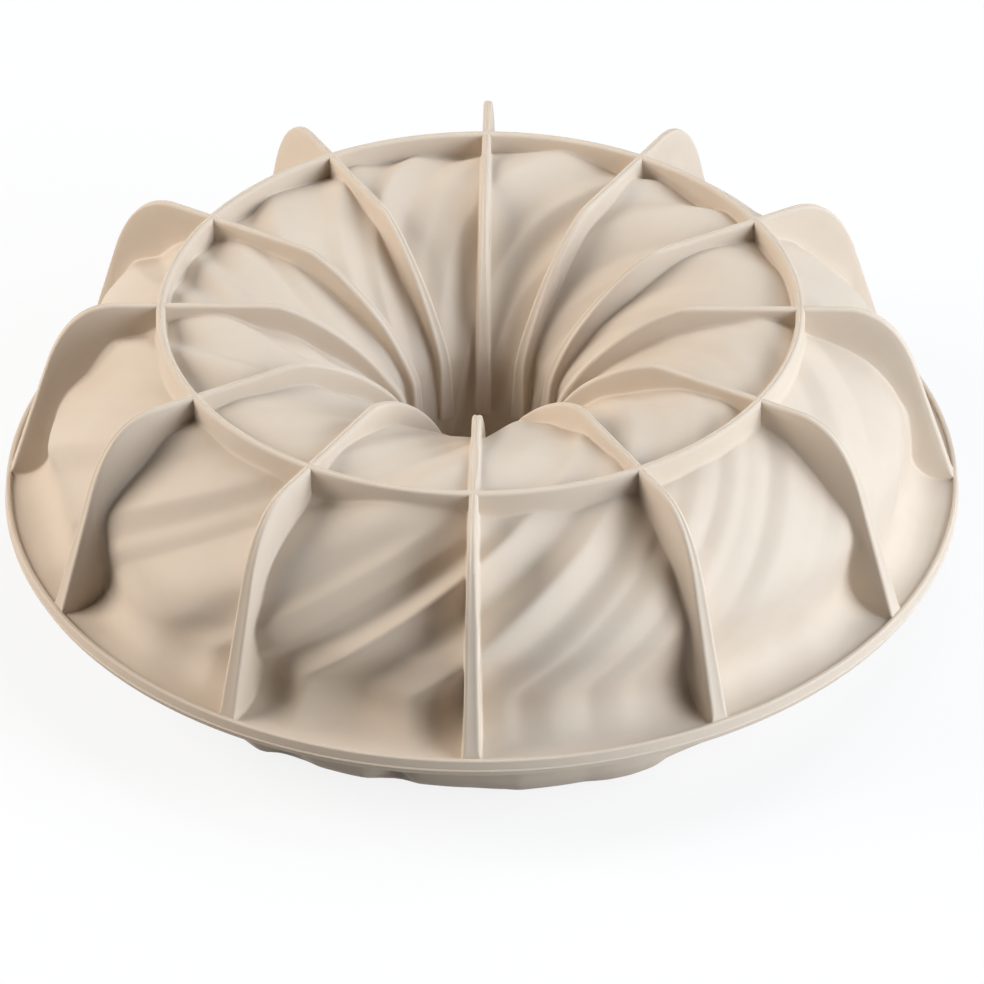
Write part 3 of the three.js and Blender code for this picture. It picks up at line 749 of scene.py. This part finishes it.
class MOULD_OT_folded_crown(bpy.types.Operator):
    """Crown, funnel and the closed centre tube inside the foot ring"""
    bl_idname = "mould.folded_crown"
    bl_label = "Folded crown and tube"

    def execute(self, context):
        walls = context.scene.mould_walls
        wall = FoldedWall(walls)
        thickness = walls.wall_thickness
        floor_low = TUBE_END_HEIGHT - thickness
        floor_under = straight((0.0, floor_low), (TUBE_END_RADIUS, floor_low), TUBE_FLOOR_ROWS)
        cavity = wall.rows_along(
            np.linspace(LINE.length - TUBE_INNER_STOP, LINE.ring_at, CROWN_CAVITY_ROWS), -thickness)
        upper = wall.rows_along(np.concatenate([
            np.linspace(LINE.ring_at, LINE.tube_start, CROWN_ROWS)[:-1],
            np.linspace(LINE.tube_start, LINE.length - TUBE_OUTER_STOP, TUBE_ROWS)]))
        floor_top = straight((TUBE_END_RADIUS - TUBE_FLOOR_INSET, TUBE_END_HEIGHT), (0.0, TUBE_END_HEIGHT),
                             TUBE_FLOOR_ROWS)
        plain = np.zeros(TUBE_FLOOR_ROWS)
        rows = wall.level_rows(floor_under, np.zeros_like(floor_under), plain).joined(cavity).joined(upper)
        rows = rows.joined(wall.level_rows(floor_top, np.zeros_like(floor_top), plain))
        piece = spin_section("silicone_crown", rows.place, walls.crown_columns, is_open=True)
        fold_spun_piece(piece, rows)
        nodes = ("crown_wall", "funnel_wall", "centre_tube", "tube_cap")
        finish_piece(piece, nodes, FOLDS_SMOOTH_ANGLE)
        return {"FINISHED"}


class MOULD_OT_rim_bead(bpy.types.Operator):
    """Thick band on the flange's edge, with its moulding line"""
    bl_idname = "mould.rim_bead"
    bl_label = "Rim bead"

    def execute(self, context):
        low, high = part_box("rim_bead")
        inner = BEAD_INNER_RADIUS
        face = RIM_RADIUS - BEAD_FACE_INSET
        turn = BEAD_FACE_ROUNDING
        edge = BEAD_EDGE_ROUNDING
        foot = BEAD_FOOT_ROUNDING
        line = high.z - BEAD_LINE_DROP
        section = np.vstack([
            arc((inner + edge, high.z - edge), edge, 180, 90, 4),
            arc((face - turn, high.z - turn), turn, 90, 0, 6),
            [(RIM_RADIUS - inset, line + rise) for inset, rise in BEAD_LINE],
            arc((RIM_RADIUS - BEAD_FOOT_STEP, low.z + edge), edge, 0, -90, 4),
            arc((inner + foot, low.z + foot), foot, -90, -180, 3),
            [(inner, 0.5 * (low.z + RIM_HEIGHT)), (inner, RIM_HEIGHT)],
        ])
        piece = spin_section("silicone_rim_bead", section, context.scene.mould_walls.side_columns // 2)
        finish_piece(piece, ("rim_bead",))
        return {"FINISHED"}


def fin_section(ribs, height, depth, upright):
    """Half section of a fin: distance over the wall and half thickness, from the root to the middle.

    depth is how far the free edge lies under the foot plane, upright the share of the fin's height that
    is plumb: a fin thickens with its depth, so that the moulding tool can leave it.
    """
    fillet = min(ribs.root_fillet, FILLET_MOST * height)
    rounding = min(ribs.edge_rounding, ROUNDING_MOST * height)

    def half_at(rise):
        return 0.5 * (ribs.edge_thickness + ribs.draft * (depth + upright * (height - rise)))

    steps = [(-FIN_SINK, half_at(0.0) + FILLET_SPREAD * fillet)]
    for turn in FILLET_TURNS:
        rise = fillet * (1.0 - cos(radians(turn)))
        steps.append((rise, half_at(rise) + fillet * (1.0 - sin(radians(turn)))))
    for share in np.linspace(0.0, 1.0, FIN_ROWS + 2)[1:-1]:
        rise = fillet + share * (height - rounding - fillet)
        steps.append((rise, half_at(rise)))
    for turn in ROUNDING_TURNS:
        rise = height - rounding * (1.0 - sin(radians(turn)))
        steps.append((rise, half_at(height) - rounding * (1.0 - cos(radians(turn)))))
    inner = half_at(height) - rounding
    for down, across in HOLLOW_STEPS:
        steps.append((height - down * ribs.edge_hollow, across * inner))
    return np.array(steps)


def roll_up_grid(name, loops):
    """A grid rolled into a closed bar through loops of points, with its ends filled."""
    stations, around, _ = loops.shape
    deselect_all()
    bpy.ops.mesh.primitive_grid_add(x_subdivisions=stations - 1, y_subdivisions=around, size=2.0)
    piece = named(name)
    start = coordinates(piece)
    if len(start) != stations * (around + 1):
        raise RuntimeError(f"{name}: the grid has {len(start)} points")
    station = np.rint((start[:, 0] + 1.0) / 2.0 * (stations - 1)).astype(int)
    step = np.rint((start[:, 1] + 1.0) / 2.0 * around).astype(int) % around
    move_to(piece, loops[station, step])
    bpy.ops.object.mode_set(mode="EDIT")
    bpy.ops.mesh.select_mode(type="VERT")
    bpy.ops.mesh.select_all(action="SELECT")
    bpy.ops.mesh.remove_doubles(threshold=1e-7)
    bpy.ops.mesh.select_all(action="SELECT")
    bpy.ops.mesh.fill_holes(sides=0)
    bpy.ops.mesh.select_all(action="SELECT")
    bpy.ops.mesh.normals_make_consistent(inside=False)
    bpy.ops.object.mode_set(mode="OBJECT")
    return piece


def model_fin(name, ribs, degrees, rows, edge):
    """A fin in the plane of one angle: its root follows the folded wall, its free edge is smooth."""
    middle = rows.at(np.full(len(edge), degrees))
    height = np.maximum(np.linalg.norm(edge - middle, axis=1), FIN_LEAST_HEIGHT)
    reach = (edge - middle) / height[:, None]
    depth = FOOT_HEIGHT - edge[:, 1]
    halves = np.array([fin_section(ribs, *each) for each in zip(height, depth, reach[:, 1])])
    settled = np.clip(FIN_SETTLED_SHARE * height, FIN_SETTLED_FILLETS * ribs.root_fillet, FIN_SETTLED_MOST)
    along = np.array([cos(radians(degrees)), sin(radians(degrees)), 0.0])
    across = np.array([-along[1], along[0], 0.0])
    up = np.array([0.0, 0.0, 1.0])

    def side(sign):
        lines = []
        for step in range(halves.shape[1]):
            rise = halves[:, step, 0]
            out = sign * halves[:, step, 1]
            angle = degrees + np.degrees(np.arcsin(out / middle[:, 0]))
            skin = rows.at(angle) + rows.normal * rise[:, None]
            plane = middle + reach * rise[:, None]
            away = smooth(FIN_SKIN_DEPTH, settled, rise)[:, None]
            place = skin * (1.0 - away) + plane * away
            radius = np.sqrt(np.maximum(place[:, 0] ** 2 - out ** 2, 0.0))
            lines.append(radius[:, None] * along + out[:, None] * across + place[:, 1][:, None] * up)
        return lines

    loops = np.stack(side(1.0) + side(-1.0)[::-1], axis=1)
    return roll_up_grid(name, loops)


def along_path(points, count):
    """Evenly spaced points on a polyline."""
    steps = lengths_along(points)
    return values_at(np.linspace(0.0, steps[-1], count), steps, points)


class MOULD_OT_outer_ribs(bpy.types.Operator):
    """Fins from the rim up the side to the foot ring"""
    bl_idname = "mould.outer_ribs"
    bl_label = "Outer ribs"

    def execute(self, context):
        walls = context.scene.mould_walls
        end_radius = RING_RADIUS + RIB_END_OVERLAP
        toe = (OUTER_RIB_TOE_RADIUS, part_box("rim_bead")[1].z)
        bend = (SIDE_RADIUS + OUTER_RIB_REACH, FOOT_HEIGHT - OUTER_RIB_DROP)
        level = (SIDE_RADIUS - OUTER_RIB_FLAT, RIB_TOP)
        slope = (toe[0] - bend[0]) / (bend[1] - toe[1])
        edge = np.vstack([
            straight(toe, bend, OUTER_RIB_SLOPE_POINTS)[:-1],
            quadratic(bend, (bend[0] - slope * OUTER_RIB_DROP, RIB_TOP), level, OUTER_RIB_BEND_POINTS),
            straight(level, (end_radius, RIB_TOP), OUTER_RIB_TOP_POINTS)[1:],
        ])
        fillet_end = LINE.at_side(RIM_HEIGHT + walls.flange_fillet)
        stations = np.linspace(fillet_end, LINE.at_radius(end_radius), RIB_SKIN_STATIONS)
        skin = FoldedWall(walls).upper_rows(RIB_SKIN_ROWS, RIB_SKIN_ROWS, stations)
        skin = skin.taken(skin.place[:, 0] <= OUTER_RIB_TOE_RADIUS)
        for number in range(RIB_COUNT):
            degrees = FULL_TURN * number / RIB_COUNT
            name = f"outer_rib_{number + 1:02d}"
            rows = skin.evenly(degrees, OUTER_RIB_STATIONS)
            piece = model_fin("silicone_" + name, context.scene.mould_ribs, degrees, rows,
                              along_path(edge, OUTER_RIB_STATIONS))
            finish_piece(piece, (name,))
        return {"FINISHED"}


class MOULD_OT_inner_ribs(bpy.types.Operator):
    """Fins from the foot ring over the crown and down the funnel"""
    bl_idname = "mould.inner_ribs"
    bl_label = "Inner ribs"

    def execute(self, context):
        start = LINE.at_radius(RING_RADIUS - RIB_END_OVERLAP)
        tail = LINE.at_tube(INNER_RIB_TAIL_HEIGHT)
        stations = np.linspace(start, tail, INNER_RIB_STATIONS)
        skin = FoldedWall(context.scene.mould_walls).rows_along(stations)
        tail_radius = skin.place[-1, 0]
        inward = (INNER_RIB_BEND_RADIUS - skin.place[:, 0]) / (INNER_RIB_BEND_RADIUS - tail_radius)
        late = np.clip(inward, 0.0, 1.0) ** INNER_RIB_BEND_POWER
        lift = INNER_RIB_RISE * (1.0 - late) + INNER_RIB_TAIL_RISE * late
        for number in range(RIB_COUNT):
            degrees = FULL_TURN * number / RIB_COUNT
            name = f"inner_rib_{number + 1:02d}"
            fold = skin.folds(np.full(INNER_RIB_STATIONS, degrees))
            edge = skin.place + skin.normal * (lift + INNER_RIB_LIFT + fold * late)[:, None]
            edge[:, 1] = np.minimum(edge[:, 1], RIB_TOP)
            flat = edge[:, 1] >= RIB_TOP
            edge[flat, 0] = skin.place[flat, 0]
            piece = model_fin("silicone_" + name, context.scene.mould_ribs, degrees, skin, edge)
            finish_piece(piece, (name,))
        return {"FINISHED"}


class MOULD_OT_foot_ring(bpy.types.Operator):
    """Upright ring that the mould stands on when it is turned over"""
    bl_idname = "mould.foot_ring"
    bl_label = "Foot ring"

    def execute(self, context):
        walls = context.scene.mould_walls
        wall = FoldedWall(walls)
        height = RING_SECTION_HEIGHT
        half = fin_section(context.scene.mould_ribs, height, 0.0, 1.0)
        right = np.column_stack([RING_RADIUS + half[:, 1], half[:, 0]])
        left = np.column_stack([RING_RADIUS - half[:, 1], half[:, 0]])
        section = np.vstack([right, left[::-1]])
        piece = spin_section("silicone_foot_ring", section, walls.side_columns)
        index, column = row_of_each(piece, section)
        radius = section[index, 0]
        rise = section[index, 1]
        base = wall.height_under(np.full(len(column), RING_RADIUS), column)
        room = np.maximum(FOOT_HEIGHT - base, RING_LEAST_ROOM)
        low = wall.height_under(radius, column) + rise
        high = FOOT_HEIGHT - (height - rise) * np.clip(room / height, RING_LEAST_SHARE, 1.0)
        away = smooth(0.0, RING_SETTLED_SHARE * height, rise)
        move_round(piece, radius, column, np.minimum(low * (1.0 - away) + high * away, FOOT_HEIGHT))
        finish_piece(piece, ("foot_ring",))
        return {"FINISHED"}


def seen_rays(tree):
    """1 for rays that see the surroundings straight on, in a reflection or through the surface."""
    rays = [tree.node("ShaderNodeLightPath", output=name)
            for name in ("Is Camera Ray", "Is Glossy Ray", "Is Transmission Ray")]
    return tree.node("ShaderNodeClamp", {}, {0: rays[0] + rays[1] + rays[2]})


def area_light(name, turn, rise, power, colour):
    """A square softbox that faces the mould, placed by its angles round it and above the floor."""
    towards = Vector((cos(rise) * cos(turn), cos(rise) * sin(turn), sin(rise)))
    place = Vector((0.0, 0.0, LIGHT_TARGET_HEIGHT)) + LIGHT_DISTANCE * towards
    deselect_all()
    bpy.ops.object.light_add(type="AREA", location=place)
    lamp = named(name)
    lamp.data.shape = "SQUARE"
    lamp.data.size = LIGHT_SIZE
    lamp.data.energy = power
    lamp.data.color = colour
    lamp.rotation_euler = (-towards).to_track_quat("-Z", "Y").to_euler()


class MOULD_OT_stage(bpy.types.Operator):
    """Pale floor, white surroundings, soft lights and the camera"""
    bl_idname = "mould.stage"
    bl_label = "Stage"

    def execute(self, context):
        stage = context.scene.mould_stage
        self.add_floor()
        self.light_world(context.scene)
        for name, turn, rise, power, colour in LIGHTS:
            area_light(name, radians(turn), radians(rise), getattr(stage, power), colour)
        self.add_camera(context.scene, stage)
        context.scene.view_settings.view_transform = "Standard"
        return {"FINISHED"}

    def add_floor(self):
        deselect_all()
        bpy.ops.mesh.primitive_plane_add(size=FLOOR_SIZE, location=(0.0, 0.0, -FLOOR_GAP))
        floor = named("studio_floor")
        material = bpy.data.materials.new("white_floor")
        tree = new_tree(material)
        dim = tree.node("ShaderNodeBsdfDiffuse", {}, {"Color": FLOOR_DIM})
        pale = tree.node("ShaderNodeBsdfDiffuse", {}, {"Color": FLOOR_PALE})
        glow = tree.node("ShaderNodeEmission", {}, {"Color": WHITE, "Strength": 1.0})
        seen = tree.node("ShaderNodeMixShader", {}, {0: FLOOR_GLOW, 1: pale, 2: glow})
        floor_shader = tree.node("ShaderNodeMixShader", {}, {0: seen_rays(tree), 1: dim, 2: seen})
        tree.node("ShaderNodeOutputMaterial", {}, {"Surface": floor_shader})
        floor.data.materials.append(material)

    def light_world(self, scene):
        scene.world = bpy.data.worlds.new("white_room")
        tree = new_tree(scene.world)
        unlit = tree.node("ShaderNodeBackground", {}, {"Strength": 0.0})
        white = tree.node("ShaderNodeBackground", {}, {"Color": WHITE, "Strength": 1.0})
        mixed = tree.node("ShaderNodeMixShader", {}, {0: seen_rays(tree), 1: unlit, 2: white})
        tree.node("ShaderNodeOutputWorld", {}, {"Surface": mixed})

    def add_camera(self, scene, stage):
        rise = stage.camera_rise
        turn = stage.camera_turn
        back = Vector((sin(turn) * cos(rise), -cos(turn) * cos(rise), sin(rise)))
        right = Vector((cos(turn), sin(turn), 0.0))
        upward = back.cross(right)
        target = Vector((0.0, 0.0, CAMERA_TARGET_HEIGHT))
        target += right * CAMERA_TARGET_RIGHT - upward * CAMERA_TARGET_DOWN
        axes = Matrix((right, upward, back)).transposed().to_4x4()
        place = Matrix.Translation(target + back * stage.camera_distance)
        deselect_all()
        bpy.ops.object.camera_add()
        camera = named("photo_camera")
        camera.matrix_world = place @ axes @ Matrix.Rotation(stage.camera_roll, 4, "Z")
        camera.data.lens = stage.camera_lens
        camera.data.sensor_width = SENSOR_WIDTH
        camera.data.clip_end = CAMERA_CLIP_END
        scene.camera = camera


STEPS = (MOULD_OT_folded_side, MOULD_OT_folded_crown, MOULD_OT_rim_bead, MOULD_OT_foot_ring,
         MOULD_OT_outer_ribs, MOULD_OT_inner_ribs, MOULD_OT_stage)
GROUPS = {
    "mould_walls": MouldWallSizes,
    "mould_ribs": MouldRibSizes,
    "mould_finish": MouldFinish,
    "mould_stage": MouldStage,
}


class MOULD_PT_panel(bpy.types.Panel):
    """Lists the steps that build the mould, and their sizes and colours"""
    bl_idname = "MOULD_PT_panel"
    bl_label = "Cake mould"
    bl_space_type = "VIEW_3D"
    bl_region_type = "UI"
    bl_category = "Mould"

    def draw(self, context):
        for step in STEPS:
            self.layout.operator(step.bl_idname)
        for name, kind in GROUPS.items():
            box = self.layout.box()
            for setting in kind.__annotations__:
                box.prop(getattr(context.scene, name), setting)


def register():
    for kind in (*GROUPS.values(), *STEPS, MOULD_PT_panel):
        bpy.utils.register_class(kind)
    for name, group in GROUPS.items():
        setattr(bpy.types.Scene, name, bpy.props.PointerProperty(type=group))


def unregister():
    for name in GROUPS:
        delattr(bpy.types.Scene, name)
    for kind in reversed((*GROUPS.values(), *STEPS, MOULD_PT_panel)):
        bpy.utils.unregister_class(kind)


def main():
    register()
    bpy.ops.mould.folded_side()
    bpy.ops.mould.folded_crown()
    bpy.ops.mould.rim_bead()
    bpy.ops.mould.foot_ring()
    bpy.ops.mould.outer_ribs()
    bpy.ops.mould.inner_ribs()
    bpy.ops.mould.stage()


if __name__ == "__main__":
    main()
